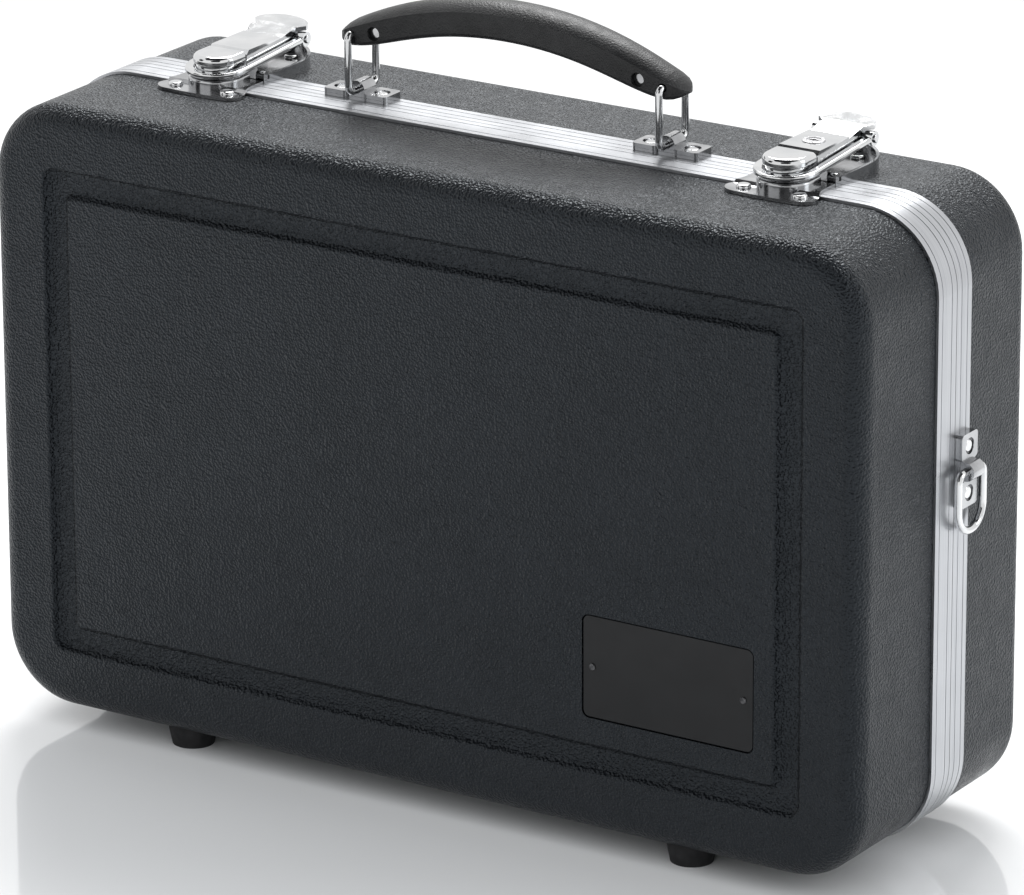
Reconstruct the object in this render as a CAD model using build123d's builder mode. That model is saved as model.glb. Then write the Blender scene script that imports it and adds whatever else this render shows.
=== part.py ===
from build123d import *
import math
import os

# A hard-shell clarinet case, standing on its hinge edge with the handle up.
# +Z is up and -Y is the front: the lid is the front half, the base is the rear half.
# Z is 0 under the feet, X is 0 at mid-width, and Y is 0 at the middle of the depth.

# ---- driving dimensions, in millimetres ----

# the case as a whole
case_width = 368.0          # across the metal band, side to side
case_height = 233.7         # across the metal band, hinge edge to handle edge
band_corner = 29.7          # radius of the band's four corners
lid_depth = 62.2            # parting plane to the lid's face
base_depth = 54.3           # parting plane to the base's face
foot_drop = 6.7             # the feet reach this far below the band

# moulded shells
shell_wall = 3.2
shell_edge = 8.0            # rounding where the sides turn into the face
shell_draft = 0.2           # degrees that the sides lean in towards the face

# metal band, one channel on each half
band_proud = 1.0            # how far the band stands outside the shells
lid_band_depth = 12.7
base_band_depth = 10.3
band_web = 1.4              # the channel's bottom, across the shell's edge
band_inner_leg = 1.2
band_inner_depth = 8.0
band_groove = 0.4           # fine grooves along the band
band_groove_depth = 0.15
band_groove_near = 3.2      # from the parting plane
band_groove_far = 3.0       # from the band's far edge
parting_gap = 0.3           # between the two halves of the band

# moulded relief on both faces: a channel round a raised panel
channel_width = 9.2
channel_depth = 2.0
channel_slope = 40.0        # degrees that the channel's walls lean
channel_out_x = 158.6       # middle of the channel's outer wall, from the case's middle
channel_out_low = 24.8      # and above the band's lower edge
channel_out_high = 209.1
channel_corner = 3.6        # corner radius on the channel's floor
channel_soft = 1.4          # rounding of the channel's edges
channel_over = 0.4          # the form that cuts the channel stands this far out of the face

# nameplate
plate_width = 69.4
plate_height = 38.0
plate_thick = 1.2
plate_corner = 2.5
plate_x = 105.7
plate_z = 64.0              # above the band's lower edge
plate_play = 0.4            # between the plate and the recess around it
plate_sink = 0.2            # the plate lies this far below the panel
plate_rivet_pitch = 61.6
plate_rivet_head = 1.3
plate_rivet_rise = 0.5
plate_soft = 0.3

# feet
foot_side_inset = 76.6      # a foot's middle to the band's side
foot_face_inset = 14.5      # and to the face of its half
foot_radius = 9.0
foot_taper = 1.2            # the foot is this much smaller in radius at the floor
foot_slope = 6.0            # height of the foot's sloped lower part
foot_screw_radius = 3.2
foot_screw_sink = 2.5
foot_screw_head = 1.6
foot_screw_play = 0.1
foot_screw_slot = 0.9
foot_screw_slot_long = 4.5

# hinges under the case
hinge_side_inset = 72.0     # a hinge's middle to the band's side
hinge_width = 38.0
hinge_leaf = 1.2
hinge_reach = 17.0          # parting plane to a leaf's far edge
hinge_knuckle = 2.7
hinge_pin_radius = 1.3
hinge_band_gap = 0.3        # knuckle to band
hinge_play = 0.06           # pin in a knuckle that turns, in radius
hinge_side_play = 0.3       # between knuckles
hinge_rivet_x = 12.7        # from the hinge's middle
hinge_rivet_y = 10.0        # parting plane to the leaves' rivets
hinge_rivet_head = 2.1
hinge_rivet_rise = 0.9

# rivets, all of one kind outside
rivet_shank = 1.5
rivet_head = 2.7
rivet_rise = 1.1
dome_share = 0.8            # how much of a rivet's rise, or a cap's overhang, is rounded

# latches
latch_side_inset = 64.1     # a latch's middle to the band's side
sheet = 1.2                 # sheet metal of the plates
catch_front = 23.6          # parting plane to the catch plate's front edge
catch_half_front = 18.2
catch_half_waist = 15.4
catch_corner = 6.0
catch_bow = 0.5             # the front edge bulges this much
catch_flank = 0.3           # how the flanks lean where they leave the corners, per unit of depth
plate_reach = 4.2           # plates are drawn this far down before the case is cut from them
catch_rivet_pitch = 22.6
catch_rivet_y = 17.4
latch_back_gap = 0.6        # catch plate and latch base both stop short of the parting plane
neck_y = 7.6                # the catch's round centre, from the parting plane
neck_flat = 1.6             # its flat back, from the parting plane
pad_radius = 10.4
pad_top = 3.6               # heights here are above the band's top face
neck_radius = 7.5
cap_radius = 8.5
cap_low = 7.9
cap_top = 11.5
cap_soft = 1.8

pivot_y = 3.6               # lever pivot, behind the parting plane
pivot_z = 7.2
pivot_pin = 1.3
pivot_play = 0.06
ear_radius = 2.6
ear_inner = 5.4
ear_outer = 6.8
lever_inner = 7.2
lever_outer = 8.2
lever_front = -0.3
lever_nose = 1.5            # bevel over the lever's front edge, which sweeps past the catch
lever_step = 21.5           # where the lever's body ends and the finger tab begins
lever_low = 4.9
tab_end = 39.8
tab_half = 11.3
tab_rise = 14.2
tab_thick = 1.6
tab_start = 31.0            # where the tab begins to widen, clear of the ring's arms
tab_flare = 2.5             # length over which it widens
tab_tip = 6.2               # length of its rounded end
eye_y = 32.5                # ring pivot at the lever's far end
eye_z = 8.55
eye_radius = 2.7
eye_pin = 1.5
eye_play = 0.06
ring_inner = 8.9
ring_bar = 3.3
ring_thick = 2.2
ring_soft = 0.8
ring_neck_play = 0.3
ring_front_z = 5.2
eye_pin_rise = 0.7          # pin ends stand this far outside the ring
eye_pin_soft = 0.4
pivot_pin_soft = 0.2

latch_base_near_half = 15.0
latch_base_far_half = 18.0
latch_base_end = 38.5
latch_base_wide_y = 21.0
rim_wall = 1.2
rim_near = 2.6
rim_far = 5.2
base_rivet_x = 6.2
base_rivet_y = 31.0
curl_radius = 1.5
curl_length = 3.6

lock_y = 11.0
lock_radius = 4.2
lock_rise = 0.35
lock_collar = 0.9
lock_plug_radius = 2.6
lock_play = 0.06
lock_depth = 5.0
lock_slot = 0.9
lock_slot_long = 3.9
lock_soft = 0.25
lock_cam_width = 4.0

# brackets that carry the handle and the strap rings
bracket_length = 27.0
bracket_width = 11.0
bracket_wing = 2.8
bracket_waist = 7.4
bracket_web = 7.5           # width of the saddle, along the wire
bracket_corner = 1.6
bracket_gap = 0.3           # bracket edge to the parting plane
bracket_cup = 3.0
bracket_cup_depth = 1.2
bracket_rivet_head = 2.4
bracket_rivet_rise = 0.9
wire_radius = 1.4
wire_play = 0.1
wire_z = 3.4
saddle_wall = 1.9
handle_bracket_x = 65.4
ring_bracket_z = 138.1      # above the band's lower edge

# handle
link_half = 8.9             # wire legs, from the handle's middle plane
link_top_z = 24.9           # height of the grip's pivots
link_bend = 3.0
link_top_bend = 1.9
link_tuck = 5.1             # how far the wire's ends turn into the grip
grip_half_length = 72.7
grip_top_z = 44.9
grip_thick = 12.8
grip_arch = 150.0           # radius of the grip's upper side
grip_half_mid = 8.8
grip_half_end = 6.5
grip_end_round = 6.5
grip_cap_angles = (0, 24, 45, 63, 78, 87)       # degrees round the end
grip_dome = 0.26            # the share of the grip's height that is domed
grip_soft_low = 1.6
grip_flat_x = 58.0          # beyond this the underside runs level
grip_section_pitch = 24.0   # sections are drawn about this far apart
grip_pin_x = 55.5
grip_pin_z = 26.5
grip_pin_radius = 1.7
grip_pin_sink = 1.0
grip_pin_recess = 2.6
open_pivot_play = 0.3

# strap rings
strap_ring_half = 8.6       # wire legs, from the bracket's middle plane
strap_ring_drop = 22.0      # bar to bottom of the ring
strap_ring_corner = 3.0
strap_ring_bend = 8.4

# lining and insert
lining_play = 0.5
lid_pad_thick = 8.0
lid_rim_thick = 6.0
lid_rim_front_gap = 3.0     # lid lining to parting plane
insert_front_gap = 3.0      # insert to parting plane
insert_floor_thick = 8.0
foam_play = 0.3             # between two pieces of foam
wall_edge = 9.0             # foam between a hollow and the block's edge
wall_mid = 10.0             # foam between two hollows
lower_wall = 15.0           # foam below the bell's hollow and the board
hollow_corner = 8.0
lower_joint_long = 262.0
lower_joint_wide = 42.0
upper_joint_long = 232.0
upper_joint_wide = 40.0
joint_hollow_depth = 34.0
bell_long = 110.0
tray_wide = 25.0
tray_depth = 26.0

# hinged board over the accessory hollow
board_thick = 3.0
board_play = 0.6
board_rise = 0.4            # the board stands this far out of the foam
board_corner = 3.0
board_ledge = 4.0           # foam under the board's edges
board_rail_tall = 6.0
board_hinge_gap = 2.2       # hinge axis to board, and to rail
board_hinge_radius = 1.5
board_pin_radius = 0.8
board_hinge_x = 70.0        # from the board's middle
board_knuckle = 9.0
pull_tab_width = 14.0
pull_tab_on_board = 7.0
pull_tab_over = 4.0         # the tab reaches this far below the board
pull_tab_thick = 1.0

# ---- places worked out from the sizes above ----

parting_y = (lid_depth - base_depth) / 2
band_low_z = foot_drop
band_top_z = band_low_z + case_height
mid_z = band_low_z + case_height / 2
half_width = case_width / 2
latch_x = half_width - latch_side_inset
hinge_x = half_width - hinge_side_inset
foot_x = half_width - foot_side_inset
lid_foot_y = parting_y - lid_depth + foot_face_inset
base_foot_y = parting_y + base_depth - foot_face_inset
fit_inset = band_proud + shell_wall
leg_inset = fit_inset + band_inner_depth * math.tan(math.radians(shell_draft))
hinge_z = band_low_z - hinge_band_gap - hinge_knuckle
bracket_y = parting_y + bracket_gap + bracket_width / 2
wire_height = band_top_z + wire_z

same_place = 0.01           # places nearer than this count as one

os.makedirs("parts", exist_ok=True)


def save(piece, name):
    piece.label = name
    export_step(piece, f"parts/{name}.step")


def facing(y):
    """An upright plane at y: local x is +X, local y is +Z, and it faces the front."""
    return Plane(origin=(0, y, mid_z), x_dir=(1, 0, 0), z_dir=(0, -1, 0))


def backing(y):
    """The same plane facing the rear, so its local x is -X."""
    return Plane(origin=(0, y, mid_z), x_dir=(-1, 0, 0), z_dir=(0, 1, 0))


def level(x, y, z):
    """A level plane with its origin at a point."""
    return Plane(origin=(x, y, z))


def across(x, y=0.0, z=0.0):
    """An upright plane across the case: local x is +Y, local y is +Z, and it faces +X."""
    return Plane(origin=(x, y, z), x_dir=(0, 1, 0), z_dir=(1, 0, 0))


def outline(inset):
    """The case's rounded rectangle, drawn in from the band's outer face."""
    RectangleRounded(case_width - 2 * inset, case_height - 2 * inset, band_corner - inset)


def half_form(plane, depth, inset, edge):
    """One half of the case as a filled solid: drafted sides and a rounded face edge."""
    with BuildPart() as form:
        with BuildSketch(plane):
            outline(inset)
        extrude(amount=depth, taper=shell_draft)
        face = form.faces().sort_by(Axis.Y)[0 if plane.z_dir.Y < 0 else -1]
        fillet(face.edges(), edge)
    return form.part


lid_form = half_form(facing(parting_y), lid_depth, band_proud, shell_edge)
base_form = half_form(backing(parting_y), base_depth, band_proud, shell_edge)
inner_edge = shell_edge - shell_wall
lid_hollow = half_form(facing(parting_y), lid_depth - shell_wall, fit_inset, inner_edge)
base_hollow = half_form(backing(parting_y), base_depth - shell_wall, fit_inset, inner_edge)

# ---- shells ----

channel_mid_z = band_low_z + (channel_out_low + channel_out_high) / 2 - mid_z
channel_height = channel_out_high - channel_out_low
channel_lean = channel_depth * math.tan(math.radians(channel_slope)) / 2


def relief(plane, depth):
    """The moulded channel that runs round a face, with leaning walls."""
    height = channel_depth + channel_over
    inner = channel_width - channel_lean
    with BuildPart() as ring:
        with BuildSketch(plane.offset(depth - channel_depth)):
            with Locations((0, channel_mid_z)):
                RectangleRounded(
                    2 * (channel_out_x - channel_lean),
                    channel_height - 2 * channel_lean,
                    channel_corner,
                )
        extrude(amount=height, taper=-channel_slope)
        with BuildSketch(plane.offset(depth - channel_depth)):
            with Locations((0, channel_mid_z)):
                RectangleRounded(
                    2 * (channel_out_x - inner),
                    channel_height - 2 * inner,
                    channel_corner,
                )
        extrude(amount=height, taper=channel_slope, mode=Mode.SUBTRACT)
        floor = ring.faces().sort_by(Axis.Y)[-1 if plane.z_dir.Y < 0 else 0]
        fillet(floor.edges(), channel_soft)
    return ring.part


lid_relief = relief(facing(parting_y), lid_depth)
base_relief = relief(backing(parting_y), base_depth)
plate_face = facing(parting_y - lid_depth)
plate_centre = (plate_x, band_low_z + plate_z - mid_z)


def soften_relief(part, y):
    """Round the channel's upper edges, which lie in the face at y."""
    rims = [
        edge
        for edge in part.edges()
        if abs(edge.center().Y - y) < same_place
        and abs(edge.bounding_box().size.Y) < same_place
        and abs(edge.center().X) <= channel_out_x + channel_lean + same_place
        and abs(edge.center().Z - mid_z - channel_mid_z)
        <= channel_height / 2 + channel_lean + same_place
    ]
    fillet(rims, channel_soft)


with BuildPart() as front_shell:
    add(lid_form)
    add(lid_hollow, mode=Mode.SUBTRACT)
    add(lid_relief, mode=Mode.SUBTRACT)
    soften_relief(front_shell, parting_y - lid_depth)
    with BuildSketch(plate_face):
        with Locations(plate_centre):
            RectangleRounded(
                plate_width + 2 * plate_play,
                plate_height + 2 * plate_play,
                plate_corner + plate_play,
            )
    extrude(amount=-(plate_thick + plate_sink), mode=Mode.SUBTRACT)
    # the band's channel takes the place of the shell's edge
    with BuildSketch(facing(parting_y)):
        Rectangle(case_width, case_height)
    extrude(amount=band_web + parting_gap / 2, mode=Mode.SUBTRACT)
save(front_shell.part, "front_shell")

with BuildPart() as rear_shell:
    add(base_form)
    add(base_hollow, mode=Mode.SUBTRACT)
    add(base_relief, mode=Mode.SUBTRACT)
    soften_relief(rear_shell, parting_y + base_depth)
    with BuildSketch(backing(parting_y)):
        Rectangle(case_width, case_height)
    extrude(amount=band_web + parting_gap / 2, mode=Mode.SUBTRACT)
save(rear_shell.part, "rear_shell")

# ---- metal band ----


def ring_hole(inset):
    """The case's outline as a separate sketch, to be cut out of another."""
    with BuildSketch() as hole:
        outline(inset)
    return hole.sketch


def band(plane, depth):
    """One half of the band: a channel round the shell's edge, with fine grooves along it."""
    start = parting_gap / 2
    with BuildPart() as channel:
        with BuildSketch(plane.offset(start)):
            outline(0)
            add(ring_hole(leg_inset + band_inner_leg), mode=Mode.SUBTRACT)
        extrude(amount=depth - start)
        # the room between the two legs, where the shell's edge sits
        with BuildSketch(plane.offset(start + band_web)):
            outline(band_proud)
            add(ring_hole(leg_inset), mode=Mode.SUBTRACT)
        extrude(amount=depth, mode=Mode.SUBTRACT)
        # the inner leg is shorter than the outer one
        with BuildSketch(plane.offset(band_inner_depth)):
            outline(band_proud)
        extrude(amount=depth, mode=Mode.SUBTRACT)
        # two fine grooves along the outer face
        for place in (band_groove_near, depth - band_groove_far):
            with BuildSketch(plane.offset(place)):
                outline(-band_proud)
                add(ring_hole(band_groove_depth), mode=Mode.SUBTRACT)
            extrude(amount=band_groove, mode=Mode.SUBTRACT)
    return channel.part


front_band = band(facing(parting_y), lid_band_depth)
save(front_band, "front_band")
rear_band = band(backing(parting_y), base_band_depth)
save(rear_band, "rear_band")

# ---- nameplate: left plain ----

plate_front = plate_face.offset(-plate_sink)
with BuildPart() as nameplate:
    with BuildSketch(plate_front):
        with Locations(plate_centre):
            RectangleRounded(plate_width, plate_height, plate_corner)
    extrude(amount=-plate_thick)
    fillet(nameplate.faces().sort_by(Axis.Y)[0].edges(), plate_soft)
save(nameplate.part, "nameplate")

with BuildPart() as nameplate_rivets:
    with BuildSketch(plate_front):
        with Locations(plate_centre):
            with GridLocations(plate_rivet_pitch, 0, 2, 1):
                Circle(plate_rivet_head)
    extrude(amount=plate_rivet_rise)
    fillet(nameplate_rivets.faces().sort_by(Axis.Y)[0:2].edges(), plate_rivet_rise * dome_share)
save(nameplate_rivets.part, "nameplate_rivets")

# ---- feet ----


def foot_pair(form, y):
    """Two round rubber feet whose tops follow the shell, hollow below for a screw."""
    with BuildPart() as pair:
        with BuildSketch(level(0, y, 0)):
            with GridLocations(2 * foot_x, 0, 2, 1):
                Circle(foot_radius)
        extrude(amount=foot_drop + shell_edge / 2)
        chamfer(pair.edges().group_by(Axis.Z)[0], length=foot_slope, length2=foot_taper)
        with BuildSketch(level(0, y, 0)):
            with GridLocations(2 * foot_x, 0, 2, 1):
                Circle(foot_screw_radius)
        extrude(amount=foot_screw_sink, mode=Mode.SUBTRACT)
        add(form, mode=Mode.SUBTRACT)
    return pair.part


save(foot_pair(lid_form, lid_foot_y), "front_feet")
save(foot_pair(base_form, base_foot_y), "rear_feet")


def foot_screws(y):
    """A screw head sunk in each foot."""
    with BuildPart() as pair:
        with BuildSketch(level(0, y, foot_screw_sink - foot_screw_head)):
            with GridLocations(2 * foot_x, 0, 2, 1):
                Circle(foot_screw_radius - foot_screw_play)
        extrude(amount=foot_screw_head)
        with BuildSketch(level(0, y, foot_screw_sink - foot_screw_head)):
            with GridLocations(2 * foot_x, 0, 2, 1):
                SlotOverall(foot_screw_slot_long, foot_screw_slot)
                SlotOverall(foot_screw_slot_long, foot_screw_slot, rotation=90)
        extrude(amount=foot_screw_head / 2, mode=Mode.SUBTRACT)
    return pair.part


save(foot_screws(lid_foot_y), "front_foot_screws")
save(foot_screws(base_foot_y), "rear_foot_screws")

# ---- rivets ----


def rivets_down(points, seat_z, shank_depth):
    """Domed rivets pressed in from above: heads on seat_z, shanks below it."""
    with BuildPart() as group:
        for x, y in points:
            with BuildSketch(level(x, y, seat_z)):
                Circle(rivet_head)
            extrude(amount=rivet_rise)
        fillet(group.edges().group_by(Axis.Z)[-1], rivet_rise * dome_share)
        for x, y in points:
            with BuildSketch(level(x, y, seat_z)):
                Circle(rivet_shank)
            extrude(amount=-shank_depth)
    return group.part


def rivet_pair(x, half_pitch, y):
    """Centres of two rivets, either side of a latch's middle and y from the parting plane."""
    return [(x - half_pitch, parting_y + y), (x + half_pitch, parting_y + y)]


def rivet_bores(points, plate):
    """Holes for the rivets' shanks, through the plate being built."""
    for x, y in points:
        with BuildSketch(level(x, y, band_top_z - catch_front)) as hole:
            Circle(rivet_shank)
        add(extrude(hole.sketch, amount=2 * catch_front, mode=Mode.PRIVATE), mode=Mode.SUBTRACT)


# ---- hinges under the case ----

knuckle_y = parting_y
leaf_z = band_low_z - hinge_leaf
knuckle_third = (hinge_width - 2 * hinge_side_play) / 3


def knuckle_spans(which):
    """Where a leaf's knuckles lie along X, from the hinge's middle: ends or middle."""
    middle = [(-knuckle_third / 2, knuckle_third / 2)]
    ends = [
        (-hinge_width / 2, -knuckle_third / 2 - hinge_side_play),
        (knuckle_third / 2 + hinge_side_play, hinge_width / 2),
    ]
    return ends if which == "ends" else middle


def hinge_leaves(direction, which, bore):
    """Both hinges' leaves for one half of the case, direction -1 for the lid, +1 for the base."""
    near = hinge_knuckle + hinge_side_play
    neck_middle = (direction * (near + hinge_leaf) / 2, leaf_z + hinge_leaf / 2 - hinge_z)
    with BuildPart() as leaves:
        for side in (-1, 1):
            middle_x = side * hinge_x
            with BuildSketch(level(middle_x, parting_y, leaf_z)):
                with Locations((0, direction * (near + hinge_reach) / 2)):
                    RectangleRounded(hinge_width, hinge_reach - near, hinge_leaf)
            extrude(amount=hinge_leaf)
            for low, high in knuckle_spans(which):
                with BuildSketch(across(middle_x + low, knuckle_y, hinge_z)):
                    Circle(hinge_knuckle)
                    with Locations(neck_middle):
                        Rectangle(near + hinge_leaf, hinge_leaf)
                    Circle(bore, mode=Mode.SUBTRACT)
                extrude(amount=high - low)
    return leaves.part


lid_leaves = hinge_leaves(-1, "middle", hinge_pin_radius + hinge_play)
save(lid_leaves, "lid_hinge_leaves")
base_leaves = hinge_leaves(1, "ends", hinge_pin_radius)
save(base_leaves, "base_hinge_leaves")

with BuildPart() as hinge_pins:
    for side in (-1, 1):
        with BuildSketch(across(side * hinge_x - hinge_width / 2, knuckle_y, hinge_z)):
            Circle(hinge_pin_radius)
        extrude(amount=hinge_width)
save(hinge_pins.part, "hinge_pins")


def hinge_rivets(direction):
    """Two rivets through each leaf into the band, their heads below."""
    with BuildPart() as group:
        for side in (-1, 1):
            for shift in (-hinge_rivet_x, hinge_rivet_x):
                place = level(side * hinge_x + shift, parting_y + direction * hinge_rivet_y, leaf_z)
                with BuildSketch(place):
                    Circle(hinge_rivet_head)
                extrude(amount=-hinge_rivet_rise)
        fillet(group.edges().group_by(Axis.Z)[0], hinge_rivet_rise * dome_share)
    return group.part


save(hinge_rivets(-1), "lid_hinge_rivets")
save(hinge_rivets(1), "base_hinge_rivets")

# ---- latches ----

pivot_point = (parting_y + pivot_y, band_top_z + pivot_z)
eye_point = (parting_y + eye_y, band_top_z + eye_z)
neck_front = neck_y + neck_radius
ring_centre_y = neck_front + ring_neck_play - ring_inner
ring_front_y = neck_front + ring_neck_play + ring_bar / 2
ring_slope = math.degrees(math.atan2(eye_z - ring_front_z, eye_y + ring_front_y))


def round_front(x, z, radius):
    """A catch's outline: round to the front, flat towards the parting plane."""
    with BuildSketch(level(x, parting_y - neck_y, z)) as shape:
        Circle(radius)
        with Locations((0, (neck_y - neck_flat) / 2)):
            Rectangle(2 * radius, neck_y - neck_flat)
        with Locations((0, neck_y - neck_flat + radius)):
            Rectangle(4 * radius, 2 * radius, mode=Mode.SUBTRACT)
    return shape.sketch


def is_round(edge, radius):
    """Is this edge an arc of the given radius?"""
    return edge.geom_type == GeomType.CIRCLE and abs(edge.radius - radius) < same_place


def catch_plate(x):
    """The bell-shaped plate on the lid, stepped down from the band to the shell."""
    drop = band_proud
    front = -catch_front
    with BuildPart() as plate:
        with BuildSketch(across(x - catch_half_front, parting_y, band_top_z)):
            with BuildLine():
                Polyline(
                    (front, -drop),
                    (-lid_band_depth - sheet, -drop),
                    (-lid_band_depth, 0),
                    (-latch_back_gap, 0),
                    (-latch_back_gap, sheet),
                    (-lid_band_depth - sheet / 2, sheet),
                    (-lid_band_depth - 1.5 * sheet, sheet - drop),
                    (front, sheet - drop),
                    close=True,
                )
            make_face()
        extrude(amount=2 * catch_half_front)
        with BuildSketch(level(x, parting_y, band_top_z - plate_reach)):
            with BuildLine():
                corner_x = catch_half_front - catch_corner
                corner_y = front + catch_bow
                ear = (catch_half_front, corner_y + catch_corner)
                flank = Spline(
                    ear,
                    (catch_half_waist + sheet / 2, sheet - lid_band_depth),
                    (catch_half_waist, -latch_back_gap),
                    tangents=((-catch_flank, 1), (0, 1)),
                )
                corner = TangentArc(ear, (corner_x, corner_y), tangent=(0, -1))
                ThreePointArc((corner_x, corner_y), (0, front), (-corner_x, corner_y))
                mirror(flank, about=Plane.YZ)
                mirror(corner, about=Plane.YZ)
                Line((catch_half_waist, -latch_back_gap), (-catch_half_waist, -latch_back_gap))
            make_face()
        extrude(amount=2 * plate_reach, mode=Mode.INTERSECT)
        # a round pad is pressed up under the catch
        extrude(round_front(x, band_top_z - drop, pad_radius), amount=pad_top + drop)
        fillet(plate.faces().sort_by(Axis.Z)[-1].edges().filter_by(GeomType.CIRCLE), sheet)
        add(lid_form, mode=Mode.SUBTRACT)
        add(front_band, mode=Mode.SUBTRACT)
        rivet_bores(rivet_pair(x, catch_rivet_pitch / 2, -catch_rivet_y), plate)
    return plate.part


def catch_head(x):
    """The neck that the ring hooks round, and the cap over it."""
    with BuildPart() as head:
        extrude(round_front(x, band_top_z + pad_top, neck_radius), amount=cap_low - pad_top)
        extrude(round_front(x, band_top_z + cap_low, cap_radius), amount=cap_top - cap_low)
        rims = head.edges().filter_by(lambda edge: is_round(edge, cap_radius)).sort_by(Axis.Z)
        fillet(rims[-1], cap_soft)
        rims = head.edges().filter_by(lambda edge: is_round(edge, cap_radius)).sort_by(Axis.Z)
        fillet(rims[0], dome_share * (cap_radius - neck_radius))
    return head.part


def lever(x, has_lock):
    """A channel of sheet metal, open below, that widens into a finger tab."""
    top = cap_top
    with BuildPart() as arm:
        with BuildSketch(across(x - tab_half, parting_y, band_top_z)):
            with BuildLine():
                Polyline(
                    (lever_front, lever_low + sheet),
                    (lever_front, top - lever_nose),
                    (lever_front + lever_nose, top),
                    (lever_step, top),
                    (lever_step, top - sheet / 2),
                    (eye_y, tab_rise - sheet),
                    (tab_end, tab_rise),
                    (tab_end, tab_rise - tab_thick),
                    (eye_y + eye_radius, tab_rise - sheet - tab_thick),
                    (eye_y + eye_radius, eye_z - eye_radius),
                    (eye_y - eye_radius, lever_low),
                    (lever_front + 2 * sheet, lever_low),
                    close=True,
                )
            make_face()
        extrude(amount=2 * tab_half)
        # seen from above: a straight body, then the wide rounded tab
        with BuildSketch(level(x, parting_y, band_top_z)):
            with Locations((0, (lever_front + eye_y) / 2)):
                Rectangle(2 * lever_outer, eye_y - lever_front + 2 * eye_radius)
            with BuildLine():
                flare = Line((lever_outer, tab_start), (tab_half, tab_start + tab_flare))
                side = Line(flare @ 1, (tab_half, tab_end - tab_tip))
                EllipticalCenterArc((0, tab_end - tab_tip), tab_half, tab_tip, 0, arc_size=180)
                mirror(flare, about=Plane.YZ)
                mirror(side, about=Plane.YZ)
                Line((lever_outer, tab_start), (-lever_outer, tab_start))
            make_face()
        extrude(amount=tab_rise + sheet, mode=Mode.INTERSECT)
        # hollow between the two side walls, and nothing but the tab outside them
        with BuildSketch(across(x - lever_inner, parting_y, band_top_z)):
            with BuildLine():
                Polyline(
                    (lever_front - sheet, 0),
                    (lever_front - sheet, top - sheet),
                    (lever_step, top - sheet),
                    (lever_step + sheet, top - sheet - tab_thick / 2),
                    (eye_y, tab_rise - sheet - tab_thick),
                    (tab_end, tab_rise - tab_thick),
                    (tab_end, 0),
                    close=True,
                )
            make_face()
        extrude(amount=2 * lever_inner, mode=Mode.SUBTRACT)
        for low in (-2 * lever_outer, lever_outer):
            with BuildSketch(across(x + low, parting_y, band_top_z)):
                with BuildLine():
                    Polyline(
                        (lever_step, 0),
                        (lever_step, top - sheet / 2 - tab_thick),
                        (eye_y, tab_rise - sheet - tab_thick),
                        (tab_end, tab_rise - tab_thick),
                        (tab_end, 0),
                        close=True,
                    )
                make_face()
            extrude(amount=lever_outer, mode=Mode.SUBTRACT)
        # bores for the lever's pivot and the ring's pin
        with BuildSketch(across(x - tab_half, *pivot_point)):
            Circle(pivot_pin + pivot_play)
        extrude(amount=2 * tab_half, mode=Mode.SUBTRACT)
        with BuildSketch(across(x - tab_half, *eye_point)):
            Circle(eye_pin)
        extrude(amount=2 * tab_half, mode=Mode.SUBTRACT)
        if has_lock:
            with BuildSketch(level(x, parting_y + lock_y, band_top_z)):
                Circle(lock_radius)
            extrude(amount=top + sheet, mode=Mode.SUBTRACT)
    return arm.part


def latch_ring(x):
    """The flat loop that hooks round the catch, with an eye at the end of each arm."""
    plane = Plane(
        origin=(x, *eye_point),
        x_dir=(1, 0, 0),
        z_dir=(0, -math.sin(math.radians(ring_slope)), math.cos(math.radians(ring_slope))),
    )
    reach = (eye_y + ring_centre_y) / math.cos(math.radians(ring_slope))
    outer = ring_inner + ring_bar
    with BuildPart() as ring:
        with BuildSketch(plane.offset(-ring_thick / 2)):
            with Locations((0, -reach)):
                Circle(outer)
            with Locations((0, -reach / 2)):
                Rectangle(2 * outer, reach)
            with Locations((0, -reach)):
                Circle(ring_inner, mode=Mode.SUBTRACT)
            with Locations((0, -reach / 2 + eye_radius)):
                Rectangle(2 * ring_inner, reach + 2 * eye_radius, mode=Mode.SUBTRACT)
        extrude(amount=ring_thick)
        fillet(ring.edges().filter_by(GeomType.CIRCLE), ring_soft)
        for low in (-outer, ring_inner):
            with BuildSketch(across(x + low, *eye_point)):
                Circle(eye_radius)
            extrude(amount=ring_bar)
        with BuildSketch(across(x - outer, *eye_point)):
            Circle(eye_pin + eye_play)
        extrude(amount=2 * outer, mode=Mode.SUBTRACT)
    return ring.part


def rod_across(x, point, radius, half_length, soft):
    """A round pin along X with slightly rounded ends."""
    with BuildPart() as rod:
        with BuildSketch(across(x - half_length, *point)):
            Circle(radius)
        extrude(amount=2 * half_length)
        fillet(rod.edges().filter_by(GeomType.CIRCLE), soft)
    return rod.part


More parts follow.
